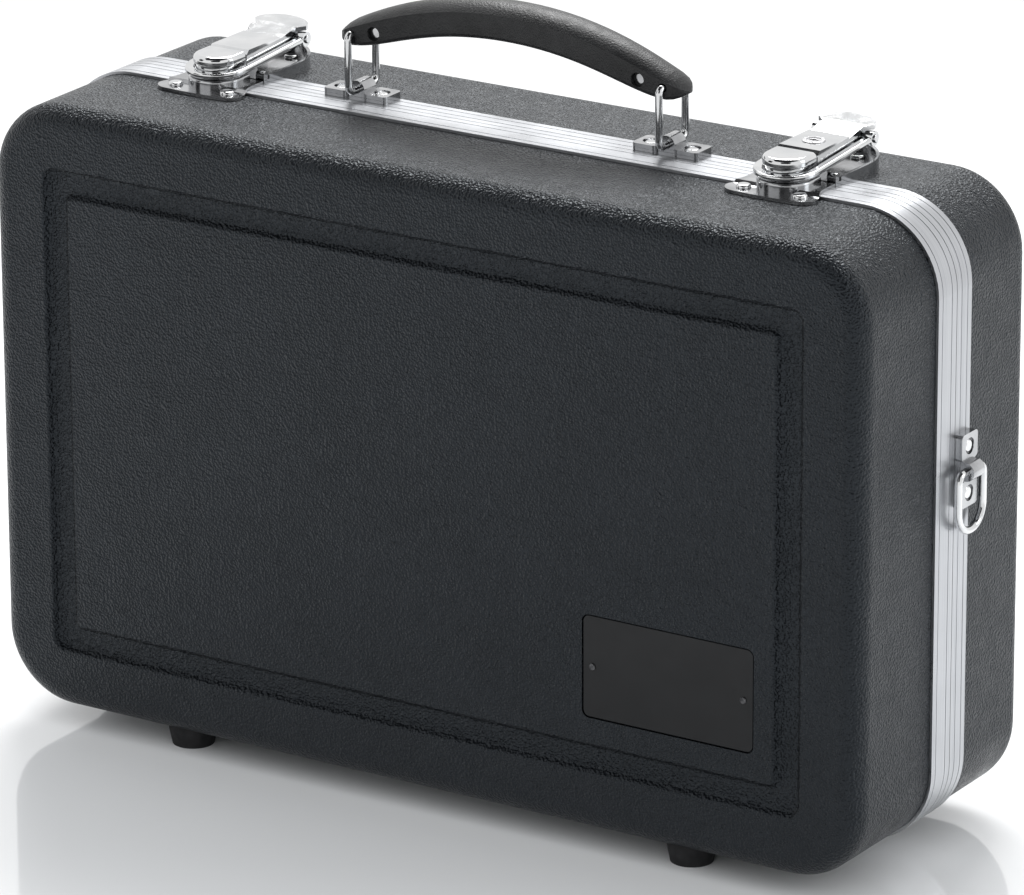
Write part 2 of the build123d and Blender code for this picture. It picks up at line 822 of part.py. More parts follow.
def latch_base(x):
    """A tray on the base half: floor, rim that rises to the rear, two ears for the lever."""
    near = latch_back_gap
    rim_start = near + 2 * curl_radius
    far_round = latch_base_end - latch_base_wide_y
    with BuildPart() as tray:
        with BuildSketch(level(x, parting_y, band_top_z - plate_reach)):
            with BuildLine():
                flank = Line((latch_base_near_half, near), (latch_base_far_half, latch_base_wide_y))
                EllipticalCenterArc(
                    (0, latch_base_wide_y), latch_base_far_half, far_round, 0, arc_size=180
                )
                mirror(flank, about=Plane.YZ)
                Line((latch_base_near_half, near), (-latch_base_near_half, near))
            make_face()
        extrude(amount=plate_reach + rim_far)
        # the rim's top rises to the rear
        with BuildSketch(across(x - 2 * latch_base_far_half, parting_y, band_top_z)):
            with BuildLine():
                Polyline(
                    (0, sheet),
                    (rim_start, sheet),
                    (rim_start, rim_near),
                    (latch_base_end, rim_far),
                    (latch_base_end, 2 * rim_far),
                    (0, 2 * rim_far),
                    close=True,
                )
            make_face()
        extrude(amount=4 * latch_base_far_half, mode=Mode.SUBTRACT)
        with BuildSketch(level(x, parting_y, band_top_z + sheet)):
            with BuildLine():
                inner_near = latch_base_near_half - rim_wall
                inner_far = latch_base_far_half - rim_wall
                flank = Line((inner_near, near), (inner_far, latch_base_wide_y))
                EllipticalCenterArc(
                    (0, latch_base_wide_y), inner_far, far_round - rim_wall, 0, arc_size=180
                )
                mirror(flank, about=Plane.YZ)
                Line((inner_near, near), (-inner_near, near))
            make_face()
        extrude(amount=2 * rim_far, mode=Mode.SUBTRACT)
        add(base_form, mode=Mode.SUBTRACT)
        add(rear_band, mode=Mode.SUBTRACT)
        rivet_bores(rivet_pair(x, base_rivet_x, base_rivet_y), tray)
        # rolled ends of the rim
        curl_y = parting_y + near + curl_radius
        for low in (-latch_base_near_half, latch_base_near_half - curl_length):
            with BuildSketch(across(x + low, curl_y, band_top_z + sheet + curl_radius)):
                Circle(curl_radius)
                with Locations((0, -curl_radius / 2)):
                    Rectangle(2 * curl_radius, curl_radius)
            extrude(amount=curl_length)
        # ears for the lever's pivot
        for low in (-ear_outer, ear_inner):
            with BuildSketch(across(x + low, parting_y, band_top_z)):
                with BuildLine():
                    Polyline(
                        (pivot_y - ear_radius, sheet),
                        (pivot_y - ear_radius, pivot_z),
                        (pivot_y + ear_radius, pivot_z),
                        (pivot_y + 2 * ear_radius, sheet),
                        close=True,
                    )
                make_face()
                with Locations((pivot_y, pivot_z)):
                    Circle(ear_radius)
                    Circle(pivot_pin, mode=Mode.SUBTRACT)
            extrude(amount=ear_outer - ear_inner)
    return tray.part





for side, x in (("left", -latch_x), ("right", latch_x)):
    locked = side == "right"
    save(catch_plate(x), f"{side}_catch_plate")
    save(catch_head(x), f"{side}_catch_head")
    points = rivet_pair(x, catch_rivet_pitch / 2, -catch_rivet_y)
    save(rivets_down(points, band_top_z + sheet - band_proud, sheet), f"{side}_catch_rivets")
    save(latch_base(x), f"{side}_latch_base")
    points = rivet_pair(x, base_rivet_x, base_rivet_y)
    save(rivets_down(points, band_top_z + sheet, sheet), f"{side}_latch_base_rivets")
    save(rod_across(x, pivot_point, pivot_pin, lever_outer, pivot_pin_soft), f"{side}_lever_pin")
    save(lever(x, locked), f"{side}_latch_lever")
    pin_half = ring_inner + ring_bar + eye_pin_rise
    save(rod_across(x, eye_point, eye_pin, pin_half, eye_pin_soft), f"{side}_ring_pin")
    save(latch_ring(x), f"{side}_latch_ring")

# ---- lock in the right lever ----

with BuildPart() as lock_collar_part:
    with BuildSketch(level(latch_x, parting_y + lock_y, band_top_z + cap_top - sheet)):
        Circle(lock_radius)
        Circle(lock_plug_radius + lock_play, mode=Mode.SUBTRACT)
    extrude(amount=sheet + lock_rise)
    top_edge = lock_collar_part.edges().filter_by(lambda edge: is_round(edge, lock_radius))
    fillet(top_edge.sort_by(Axis.Z)[-1], lock_soft)
save(lock_collar_part.part, "lock_collar")

with BuildPart() as lock_plug:
    with BuildSketch(level(latch_x, parting_y + lock_y, band_top_z + cap_top + lock_rise / 2)):
        Circle(lock_plug_radius)
    extrude(amount=-lock_depth)
    # key slot, and the cam below that turns under the lever
    with BuildSketch(level(latch_x, parting_y + lock_y, band_top_z + cap_top + lock_rise / 2)):
        SlotOverall(lock_slot_long, lock_slot)
        Circle(lock_slot)
    extrude(amount=-lock_depth / 2, mode=Mode.SUBTRACT)
    with BuildSketch(level(latch_x, parting_y + lock_y, band_top_z + cap_top - lock_depth)):
        SlotCenterPoint((0, lock_plug_radius / 2), (0, lock_plug_radius), lock_cam_width)
    extrude(amount=sheet)
save(lock_plug.part, "lock_plug")

# ---- brackets ----


bracket_wing_long = (bracket_length - bracket_waist) / 2
bracket_wing_middle = (bracket_length - bracket_wing_long) / 2


def bracket(plane):
    """A bow-tie bracket: two cupped wings, and a saddle over the wire between them.

    The plane's local x runs from wing to wing, local y runs along the wire, and it faces away
    from the band.
    """
    saddle = wire_radius + wire_play + saddle_wall
    section = Plane(
        origin=plane.from_local_coords((0, -bracket_web / 2, 0)),
        x_dir=plane.x_dir,
        z_dir=plane.y_dir,
    )
    upward = 1 if section.y_dir.dot(plane.z_dir) > 0 else -1
    with BuildPart() as made:
        with BuildSketch(plane):
            with GridLocations(2 * bracket_wing_middle, 0, 2, 1):
                RectangleRounded(bracket_wing_long, bracket_width, bracket_corner)
            Rectangle(2 * bracket_wing_middle, bracket_web)
        extrude(amount=bracket_wing)
        with BuildSketch(section):
            with Locations((0, upward * wire_z)):
                Circle(saddle)
            with Locations((0, upward * wire_z / 2)):
                Rectangle(2 * saddle, wire_z)
        extrude(amount=bracket_web)
        with BuildSketch(section.offset(-bracket_width)):
            with Locations((0, upward * wire_z)):
                Circle(wire_radius + wire_play)
        extrude(amount=3 * bracket_width, mode=Mode.SUBTRACT)
        with BuildSketch(plane.offset(bracket_wing)):
            with GridLocations(2 * bracket_wing_middle, 0, 2, 1):
                Circle(bracket_cup)
        extrude(amount=-bracket_cup_depth, mode=Mode.SUBTRACT)
    return made.part


def bracket_rivets(plane):
    """A domed rivet in each wing's cup."""
    with BuildPart() as pair:
        with BuildSketch(plane.offset(bracket_wing - bracket_cup_depth)):
            with GridLocations(2 * bracket_wing_middle, 0, 2, 1):
                Circle(bracket_rivet_head)
        extrude(amount=bracket_rivet_rise)
        tops = pair.faces().filter_by(lambda face: face.normal_at().dot(plane.z_dir) > 1 - same_place)
        fillet(tops.edges(), bracket_rivet_rise * dome_share)
    return pair.part


def bent_wire(points, corners, closed=False):
    """Round wire along points, with a bend radius at each corner."""
    with BuildPart() as wire:
        with BuildLine() as path:
            FilletPolyline(*points, radius=corners, close=closed)
        with BuildSketch(Plane(origin=path.wire() @ 0, z_dir=path.wire() % 0)):
            Circle(wire_radius)
        sweep()
    return wire.part


handle_y = bracket_y
for side, sign in (("left", -1), ("right", 1)):
    x = sign * handle_bracket_x
    place = level(x, bracket_y, band_top_z)
    save(bracket(place), f"{side}_handle_bracket")
    save(bracket_rivets(place), f"{side}_handle_bracket_rivets")
    pivot_height = band_top_z + link_top_z
    wire_points = [
        (x, handle_y - link_half + link_tuck, pivot_height),
        (x, handle_y - link_half, pivot_height),
        (x, handle_y - link_half, wire_height),
        (x, handle_y + link_half, wire_height),
        (x, handle_y + link_half, pivot_height),
        (x, handle_y + link_half - link_tuck, pivot_height),
    ]
    bends = [link_top_bend, link_bend, link_bend, link_top_bend]
    save(bent_wire(wire_points, bends), f"{side}_handle_link")

# ---- grip ----



grip_body_half = grip_half_length - grip_end_round
grip_spans = round(grip_body_half / grip_section_pitch)
grip_body_places = [grip_body_half * step / grip_spans for step in range(-grip_spans, grip_spans + 1)]


def grip_section(x, shrink=1.0):
    """The grip's cross section at x, drawn in about its own middle where shrink is below 1."""
    reach = abs(x)
    low_reach = min(reach, grip_flat_x)
    full_top = grip_top_z - grip_arch + math.sqrt(grip_arch**2 - reach**2)
    full_low = grip_top_z - grip_thick - grip_arch + math.sqrt(grip_arch**2 - low_reach**2)
    middle = (full_top + full_low) / 2
    top = middle + (full_top - middle) * shrink
    low = middle + (full_low - middle) * shrink
    share = reach / grip_half_length
    half = (grip_half_mid + (grip_half_end - grip_half_mid) * share**2) * shrink
    soft = grip_soft_low * shrink
    shoulder = top - (top - low) * grip_dome
    with BuildSketch(across(x, handle_y, band_top_z)) as section:
        with BuildLine():
            bottom = Line((-half + soft, low), (half - soft, low))
            right = Line((half, low + soft), (half, shoulder))
            dome = ThreePointArc(right @ 1, (0, top), (-half, shoulder))
            left = Line(dome @ 1, (-half, low + soft))
            TangentArc(bottom @ 1, right @ 0, tangent=bottom % 1)
            TangentArc(left @ 1, bottom @ 0, tangent=left % 1)
        make_face()
    return section.sketch


with BuildPart() as handle_grip:
    loft([grip_section(x) for x in grip_body_places])
    # the ends are rounded off by sections that shrink along a quarter circle
    for sign in (-1, 1):
        turns = [math.radians(angle) for angle in grip_cap_angles]
        cap = [
            grip_section(sign * (grip_body_half + grip_end_round * math.sin(turn)), math.cos(turn))
            for turn in turns
        ]
        loft(cap, ruled=True)
    across_grip = Plane(origin=(0, handle_y, band_top_z), x_dir=(1, 0, 0), z_dir=(0, -1, 0))
    # bores for the cross pins, with wider recesses at both sides
    with BuildSketch(across_grip):
        with Locations((-grip_pin_x, grip_pin_z), (grip_pin_x, grip_pin_z)):
            Circle(grip_pin_radius)
    extrude(amount=grip_half_mid, both=True, mode=Mode.SUBTRACT)
    for face_side in (-1, 1):
        with BuildSketch(across_grip.offset(face_side * (grip_half_end - grip_pin_sink))):
            with Locations((-grip_pin_x, grip_pin_z), (grip_pin_x, grip_pin_z)):
                Circle(grip_pin_recess)
        extrude(amount=face_side * grip_half_mid, mode=Mode.SUBTRACT)
    # the wires' turned-in ends sit in these bores, and one end has room to spare
    for sign, play in ((-1, wire_play), (1, open_pivot_play)):
        with BuildSketch(across_grip):
            with Locations((sign * handle_bracket_x, link_top_z)):
                Circle(wire_radius + play)
        extrude(amount=grip_half_mid, both=True, mode=Mode.SUBTRACT)
save(handle_grip.part, "handle_grip")

with BuildPart() as grip_pins:
    with BuildSketch(across_grip):
        with Locations((-grip_pin_x, grip_pin_z), (grip_pin_x, grip_pin_z)):
            Circle(grip_pin_radius)
    extrude(amount=grip_half_end - grip_pin_sink, both=True)
save(grip_pins.part, "grip_pins")

# ---- strap rings on the case's ends ----

ring_bar_z = band_low_z + ring_bracket_z
ring_low_z = ring_bar_z - strap_ring_drop
for side, sign in (("left", -1), ("right", 1)):
    band_side = (sign * half_width, bracket_y, ring_bar_z)
    place = Plane(origin=band_side, x_dir=(0, 0, 1), z_dir=(sign, 0, 0))
    save(bracket(place), f"{side}_ring_bracket")
    save(bracket_rivets(place), f"{side}_ring_bracket_rivets")
    x = sign * (half_width + wire_z)
    wire_points = [
        (x, bracket_y + strap_ring_half, ring_bar_z),
        (x, bracket_y + strap_ring_half, ring_low_z),
        (x, bracket_y - strap_ring_half, ring_low_z),
        (x, bracket_y - strap_ring_half, ring_bar_z),
    ]
    bends = [strap_ring_corner, strap_ring_bend, strap_ring_bend, strap_ring_corner]
    save(bent_wire(wire_points, bends, closed=True), f"{side}_strap_ring")

# ---- lining of the lid ----

lining_inset = leg_inset + band_inner_leg + lining_play
lid_lining_depth = lid_depth - shell_wall - lining_play
lid_rim_end = lid_lining_depth - lid_pad_thick - foam_play
lid_lining_form = half_form(facing(parting_y), lid_lining_depth, lining_inset, inner_edge)

with BuildPart() as lid_pad:
    add(lid_lining_form)
    with BuildSketch(facing(parting_y)):
        Rectangle(case_width, case_height)
    extrude(amount=lid_lining_depth - lid_pad_thick, mode=Mode.SUBTRACT)
save(lid_pad.part, "lid_pad")

with BuildPart() as lid_rim_lining:
    add(lid_lining_form)
    with BuildSketch(facing(parting_y)):
        outline(lining_inset + lid_rim_thick)
    extrude(amount=lid_depth, taper=shell_draft, mode=Mode.SUBTRACT)
    with BuildSketch(facing(parting_y)):
        Rectangle(case_width, case_height)
    extrude(amount=lid_rim_front_gap, mode=Mode.SUBTRACT)
    with BuildSketch(facing(parting_y - lid_rim_end)):
        Rectangle(case_width, case_height)
    extrude(amount=lid_depth, mode=Mode.SUBTRACT)
save(lid_rim_lining.part, "lid_rim_lining")

# ---- insert of the base ----

insert_depth = base_depth - shell_wall - lining_play
insert_form = half_form(backing(parting_y), insert_depth, lining_inset, inner_edge)
insert_half_width = half_width - lining_inset
insert_half_height = case_height / 2 - lining_inset
insert_front_y = parting_y + insert_front_gap
floor_y = parting_y + insert_depth - insert_floor_thick

# rows of hollows from the top down, heights measured from the case's middle
row_left = wall_edge - insert_half_width
row_right = insert_half_width - wall_edge
row_low = lower_wall - insert_half_height
barrel_left = row_left + lower_joint_long + wall_mid
mouthpiece_left = row_left + upper_joint_long + wall_mid
lower_joint_top = insert_half_height - wall_edge
upper_joint_top = lower_joint_top - lower_joint_wide - wall_mid
block_split = upper_joint_top - upper_joint_wide - wall_edge
bell_top = block_split - foam_play - wall_edge
accessory_left = row_left + bell_long + wall_mid
accessory_long = row_right - accessory_left
well_top = bell_top - tray_wide - wall_mid
board_axis = well_top - board_rail_tall - board_hinge_gap
board_top = board_axis - board_hinge_gap
accessory_low = row_low + board_ledge


def hollow(left, top, long, tall, corner=hollow_corner):
    """The rounded outline of a hollow in the insert's face, from its upper left corner."""
    with BuildSketch(facing(insert_front_y)) as shape:
        with Locations((left + long / 2, top - tall / 2)):
            RectangleRounded(long, tall, corner)
    return shape.sketch


def insert_layer(front_y, rear_y, low, high):
    """A piece of the insert between two depths and two heights."""
    with BuildPart() as layer:
        with BuildSketch(facing(front_y)):
            with Locations((0, (low + high) / 2)):
                Rectangle(case_width, high - low)
        extrude(amount=front_y - rear_y)
        add(insert_form, mode=Mode.INTERSECT)
    return layer.part


insert_floor = insert_layer(floor_y, parting_y + base_depth, -case_height / 2, case_height / 2)
save(insert_floor, "insert_floor")

with BuildPart() as joint_block:
    add(insert_layer(insert_front_y, floor_y - foam_play, block_split, case_height / 2))
    lower_joint = hollow(row_left, lower_joint_top, lower_joint_long, lower_joint_wide)
    extrude(lower_joint, amount=-joint_hollow_depth, mode=Mode.SUBTRACT)
    barrel_long = row_right - barrel_left
    barrel = hollow(barrel_left, lower_joint_top, barrel_long, lower_joint_wide)
    extrude(barrel, amount=-joint_hollow_depth, mode=Mode.SUBTRACT)
    upper_joint = hollow(row_left, upper_joint_top, upper_joint_long, upper_joint_wide)
    extrude(upper_joint, amount=-joint_hollow_depth, mode=Mode.SUBTRACT)
    mouthpiece_long = row_right - mouthpiece_left
    mouthpiece = hollow(mouthpiece_left, upper_joint_top, mouthpiece_long, upper_joint_wide)
    extrude(mouthpiece, amount=-joint_hollow_depth, mode=Mode.SUBTRACT)
save(joint_block.part, "joint_block")

with BuildPart() as bell_block:
    add(insert_layer(insert_front_y, floor_y - foam_play, -case_height / 2, block_split - foam_play))
    # the bell's hollow goes right through to the floor
    bell = hollow(row_left, bell_top, bell_long, bell_top - row_low)
    extrude(bell, amount=-base_depth, mode=Mode.SUBTRACT)
    tray = hollow(accessory_left, bell_top, accessory_long, tray_wide)
    extrude(tray, amount=-tray_depth, mode=Mode.SUBTRACT)
    well_tall = well_top - row_low + board_play
    well = hollow(accessory_left, well_top, accessory_long, well_tall, board_corner)
    extrude(well, amount=-board_thick, mode=Mode.SUBTRACT)
    accessory = hollow(
        accessory_left + board_ledge,
        board_axis,
        accessory_long - 2 * board_ledge,
        board_axis - accessory_low,
    )
    extrude(accessory, amount=-joint_hollow_depth, mode=Mode.SUBTRACT)
save(bell_block.part, "bell_block")

# ---- hinged board over the accessory hollow ----

board_middle = accessory_left + accessory_long / 2
board_long = accessory_long - 2 * board_play
board_front_y = insert_front_y - board_rise
board_axis_y = board_front_y + board_thick / 2
board_axis_z = mid_z + board_axis


def board_strip(top, low):
    """A flat strip of the board's thickness between two heights."""
    with BuildPart() as strip:
        with BuildSketch(facing(board_front_y)):
            with Locations((board_middle, (top + low) / 2)):
                RectangleRounded(board_long, top - low, board_corner - board_play)
        extrude(amount=-board_thick)
    return strip.part


def board_knuckles(spans, toward, bore):
    """Knuckles on the board's hinge axis with a neck up to the rail or down to the board."""
    with BuildPart() as knuckles:
        for side in (-1, 1):
            for low, high in spans:
                start = board_middle + side * board_hinge_x + low
                with BuildSketch(across(start, board_axis_y, board_axis_z)):
                    Circle(board_hinge_radius)
                    with Locations((0, toward * board_hinge_gap / 2)):
                        Rectangle(board_thick, board_hinge_gap)
                    Circle(bore, mode=Mode.SUBTRACT)
                extrude(amount=high - low)
    return knuckles.part


middle_half = board_knuckle / 2
end_inner = middle_half + hinge_side_play
end_outer = end_inner + board_knuckle
end_spans = [(-end_outer, -end_inner), (end_inner, end_outer)]

with BuildPart() as board_rail:
    add(board_strip(well_top - board_play, board_axis + board_hinge_gap))
    add(board_knuckles(end_spans, 1, board_pin_radius))
save(board_rail.part, "board_rail")

with BuildPart() as accessory_board:
    add(board_strip(board_top, row_low))
    add(board_knuckles([(-middle_half, middle_half)], -1, board_pin_radius + hinge_play))
save(accessory_board.part, "accessory_board")

with BuildPart() as board_pins:
    for side in (-1, 1):
        start = board_middle + side * board_hinge_x - end_outer
        with BuildSketch(across(start, board_axis_y, board_axis_z)):
            Circle(board_pin_radius)
        extrude(amount=2 * end_outer)
save(board_pins.part, "board_pins")

with BuildPart() as pull_tab:
    tab_top = row_low + pull_tab_on_board
    tab_low = row_low - pull_tab_over
    with BuildSketch(facing(board_front_y)):
        with Locations((board_middle, (tab_top + tab_low) / 2)):
            RectangleRounded(pull_tab_width, tab_top - tab_low, board_corner)
    extrude(amount=pull_tab_thick)
save(pull_tab.part, "pull_tab")
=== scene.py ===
import math

import bmesh
import bpy
from mathutils import Matrix, Vector


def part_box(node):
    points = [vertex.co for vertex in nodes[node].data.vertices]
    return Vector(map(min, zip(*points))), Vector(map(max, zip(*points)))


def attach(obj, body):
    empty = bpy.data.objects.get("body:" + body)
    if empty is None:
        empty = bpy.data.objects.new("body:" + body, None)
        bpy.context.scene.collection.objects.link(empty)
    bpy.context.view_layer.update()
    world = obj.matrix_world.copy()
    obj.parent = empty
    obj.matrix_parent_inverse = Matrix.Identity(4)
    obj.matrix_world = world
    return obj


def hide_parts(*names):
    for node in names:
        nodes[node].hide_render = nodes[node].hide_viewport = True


# Hard-shell clarinet case, dressed for rendering. Metres, +Z up, -Y is the front (the lid).
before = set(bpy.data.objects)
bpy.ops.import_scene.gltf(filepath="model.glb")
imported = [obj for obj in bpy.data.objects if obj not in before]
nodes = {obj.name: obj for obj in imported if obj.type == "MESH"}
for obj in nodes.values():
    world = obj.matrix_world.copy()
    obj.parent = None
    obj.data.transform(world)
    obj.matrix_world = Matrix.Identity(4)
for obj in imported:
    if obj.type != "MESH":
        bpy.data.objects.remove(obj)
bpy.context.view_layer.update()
print("stage 1: frame loaded,", len(nodes), "nodes")


# camera and light

camera = {
    "azimuth": 32.7532,         # degrees round to the right of straight in front
    "elevation": 19.0745,
    "roll": -0.2239,
    "distance": 2.65122,
    "aside": 0.001521,          # how far the camera is moved to its right, and upward
    "above": 0.107232,
    "foot": (0.0, 0.00395, 0.0067),     # under the case's middle, where the rest counts from
    "lens": 254.87,
    "sensor": 36.0,
    "near": 0.1,
    "far": 50.0,
}


def placeCamera():
    azimuth = math.radians(camera["azimuth"])
    elevation = math.radians(camera["elevation"])
    roll = math.radians(camera["roll"])
    back = Vector((
        math.sin(azimuth) * math.cos(elevation),
        -math.cos(azimuth) * math.cos(elevation),
        math.sin(elevation),
    ))
    right = Vector((math.cos(azimuth), math.sin(azimuth), 0.0))
    up = back.cross(right)
    place = back * camera["distance"] + right * camera["aside"] + up * camera["above"]
    place += Vector(camera["foot"])
    turnedRight = right * math.cos(roll) + up * math.sin(roll)
    turnedUp = up * math.cos(roll) - right * math.sin(roll)
    data = bpy.data.cameras.new("photoCamera")
    data.lens = camera["lens"]
    data.sensor_fit = "HORIZONTAL"
    data.sensor_width = camera["sensor"]
    data.clip_start = camera["near"]
    data.clip_end = camera["far"]
    eye = bpy.data.objects.new("photoCamera", data)
    bpy.context.scene.collection.objects.link(eye)
    turn = Matrix((turnedRight, turnedUp, back)).transposed()
    eye.matrix_world = Matrix.Translation(place) @ turn.to_4x4()
    bpy.context.scene.camera = eye


studio = {
    "roomLevel": 1.0,           # what the room adds to plain surfaces; seen directly it is white
    "roomColour": (0.96, 0.98, 1.0, 1.0),
    "white": (1.0, 1.0, 1.0, 1.0),
    "boxes": [
        # name, place, aimed at, width, height, watts, colour
        ("topBox", (-0.6, 1.2, 1.75), (0.0, 0.0, 0.2), 1.1, 0.9, 32.0, (1.0, 1.0, 1.0)),
        ("rightBox", (1.9, 0.9, 0.9), (0.1, 0.0, 0.12), 0.7, 1.1, 6.0, (0.95, 0.98, 1.0)),
    ],
    "cards": [
        # name, place, aimed at, width, height: dark cards that the bright metal shows as shade
        ("frontCard", (1.9, -3.6, 2.4), (0.0, 0.0, 0.2), 3.6, 2.6),
        ("leftCard", (-1.9, -1.5, 1.0), (0.0, 0.0, 0.2), 1.0, 1.4),
        ("highCard", (0.3, -0.9, 3.0), (0.3, -0.9, 0.0), 4.0, 3.6),
    ],
    "cardColour": (0.02, 0.02, 0.022, 1.0),
    "cardRoughness": 0.9,
    "floorSize": 9.0,
    "floorColour": (0.98, 0.98, 0.98, 1.0),
    "floorRoughness": 0.06,
    "floorIor": 1.9,
    "whiteFrom": 0.45,          # the floor turns to plain white between these distances
    "whiteBy": 1.2,
}


def addNode(tree, kind, inputs=None, **settings):
    node = tree.nodes.new(kind)
    for key, value in settings.items():
        setattr(node, key, value)
    for key, value in (inputs or {}).items():
        node.inputs[key].default_value = value
    return node


def startMaterial(name):
    material = bpy.data.materials.new(name)
    material.use_nodes = True
    tree = material.node_tree
    tree.nodes.clear()
    return material, tree, addNode(tree, "ShaderNodeOutputMaterial")


def addPlane(name, size, place):
    bpy.ops.object.select_all(action="DESELECT")
    bpy.ops.mesh.primitive_plane_add(size=size, location=place)
    plane = bpy.context.object
    plane.name = name
    return plane


def turnToward(thing, place, aim):
    thing.rotation_mode = "QUATERNION"
    thing.rotation_quaternion = (Vector(aim) - Vector(place)).to_track_quat("-Z", "Y")


def directLook(tree):
    # 1 for rays from the camera and for what metal and glass show
    path = addNode(tree, "ShaderNodeLightPath")
    either = addNode(tree, "ShaderNodeMath", operation="MAXIMUM")
    tree.links.new(path.outputs["Is Camera Ray"], either.inputs[0])
    tree.links.new(path.outputs["Is Glossy Ray"], either.inputs[1])
    anyOf = addNode(tree, "ShaderNodeMath", operation="MAXIMUM")
    tree.links.new(either.outputs[0], anyOf.inputs[0])
    tree.links.new(path.outputs["Is Transmission Ray"], anyOf.inputs[1])
    return anyOf.outputs[0]


def lightRoom():
    world = bpy.data.worlds.new("studioRoom")
    bpy.context.scene.world = world
    world.use_nodes = True
    tree = world.node_tree
    tree.nodes.clear()
    out = addNode(tree, "ShaderNodeOutputWorld")
    mix = addNode(tree, "ShaderNodeMixShader")
    roomLight = {"Color": studio["roomColour"], "Strength": studio["roomLevel"]}
    room = addNode(tree, "ShaderNodeBackground", roomLight)
    white = addNode(tree, "ShaderNodeBackground", {"Color": studio["white"]})
    tree.links.new(directLook(tree), mix.inputs["Fac"])
    tree.links.new(room.outputs[0], mix.inputs[1])
    tree.links.new(white.outputs[0], mix.inputs[2])
    tree.links.new(mix.outputs[0], out.inputs["Surface"])
    for name, place, aim, width, height, watts, colour in studio["boxes"]:
        data = bpy.data.lights.new(name, "AREA")
        data.shape = "RECTANGLE"
        data.size = width
        data.size_y = height
        data.energy = watts
        data.color = colour
        lamp = bpy.data.objects.new(name, data)
        bpy.context.scene.collection.objects.link(lamp)
        lamp.location = place
        lamp.visible_camera = False
        turnToward(lamp, place, aim)


def hangCards():
    material, tree, out = startMaterial("studioCard")
    felt = addNode(tree, "ShaderNodeBsdfPrincipled", {
        "Base Color": studio["cardColour"],
        "Roughness": studio["cardRoughness"],
    })
    tree.links.new(felt.outputs[0], out.inputs["Surface"])
    for name, place, aim, width, height in studio["cards"]:
        card = addPlane(name, 1.0, place)
        card.scale = (width, height, 1.0)
        turnToward(card, place, aim)
        bpy.ops.object.transform_apply(location=True, rotation=True, scale=True)
        card.data.materials.append(material)
        # the cards only show in gloss: they neither dim the light nor get in a view
        card.visible_camera = False
        card.visible_diffuse = False
        card.visible_shadow = False


def layFloor():
    floor = addPlane("studioFloor", studio["floorSize"], (0.0, 0.0, 0.0))
    material, tree, out = startMaterial("studioFloor")
    sheet = addNode(tree, "ShaderNodeBsdfPrincipled", {
        "Base Color": studio["floorColour"],
        "Roughness": studio["floorRoughness"],
        "IOR": studio["floorIor"],
    })
    white = addNode(tree, "ShaderNodeEmission")
    place = addNode(tree, "ShaderNodeTexCoord")
    far = addNode(tree, "ShaderNodeVectorMath", operation="LENGTH")
    span = {"From Min": studio["whiteFrom"], "From Max": studio["whiteBy"]}
    fade = addNode(tree, "ShaderNodeMapRange", span, interpolation_type="SMOOTHSTEP")
    both = addNode(tree, "ShaderNodeMath", operation="MULTIPLY")
    mix = addNode(tree, "ShaderNodeMixShader")
    tree.links.new(place.outputs["Object"], far.inputs[0])
    tree.links.new(far.outputs["Value"], fade.inputs["Value"])
    tree.links.new(fade.outputs["Result"], both.inputs[0])
    tree.links.new(directLook(tree), both.inputs[1])
    tree.links.new(both.outputs[0], mix.inputs["Fac"])
    tree.links.new(sheet.outputs[0], mix.inputs[1])
    tree.links.new(white.outputs[0], mix.inputs[2])
    tree.links.new(mix.outputs[0], out.inputs["Surface"])
    floor.data.materials.append(material)


bpy.context.scene.view_settings.view_transform = "Standard"
placeCamera()
lightRoom()
hangCards()
layFloor()
print("stage 2: camera, lamps and floor")


# finishes: a name ending in PerMetre is a noise's scale, one in Share how much of its relief shows

noiseSpan = (0.3, 0.7)          # nearly all of a noise's values lie between these


def startFinish(name, metal=0.0, level=0.5):
    material, tree, out = startMaterial(name)
    shader = addNode(tree, "ShaderNodeBsdfPrincipled", {
        "Metallic": metal,
        "Specular IOR Level": level,
    })
    tree.links.new(shader.outputs[0], out.inputs["Surface"])
    return material, tree, shader


def objectPlace(tree, stretch=(1.0, 1.0, 1.0)):
    place = addNode(tree, "ShaderNodeTexCoord")
    mapping = addNode(tree, "ShaderNodeMapping", {"Scale": stretch})
    tree.links.new(place.outputs["Object"], mapping.inputs["Vector"])
    return mapping.outputs["Vector"]


def noise(tree, place, scale=1.0, detail=3.0, rough=0.5):
    values = {"Scale": scale, "Detail": detail, "Roughness": rough}
    node = addNode(tree, "ShaderNodeTexNoise", values)
    tree.links.new(place, node.inputs["Vector"])
    return node.outputs["Fac"]


def colourFrom(tree, shader, factor, dark, light, low=0.35, high=0.65):
    ramp = addNode(tree, "ShaderNodeValToRGB")
    first, last = ramp.color_ramp.elements
    first.position = low
    first.color = (*dark, 1.0)
    last.position = high
    last.color = (*light, 1.0)
    tree.links.new(factor, ramp.inputs["Fac"])
    tree.links.new(ramp.outputs["Color"], shader.inputs["Base Color"])


def roughnessFrom(tree, shader, factor, shiny, dull):
    spread = addNode(tree, "ShaderNodeMapRange", {
        "From Min": noiseSpan[0], "From Max": noiseSpan[1],
        "To Min": shiny, "To Max": dull,
    })
    tree.links.new(factor, spread.inputs["Value"])
    tree.links.new(spread.outputs["Result"], shader.inputs["Roughness"])


def reliefFrom(tree, height, share, depth, under=None):
    bump = addNode(tree, "ShaderNodeBump", {"Strength": share, "Distance": depth})
    tree.links.new(height, bump.inputs["Height"])
    if under is not None:
        tree.links.new(under, bump.inputs["Normal"])
    return bump.outputs["Normal"]


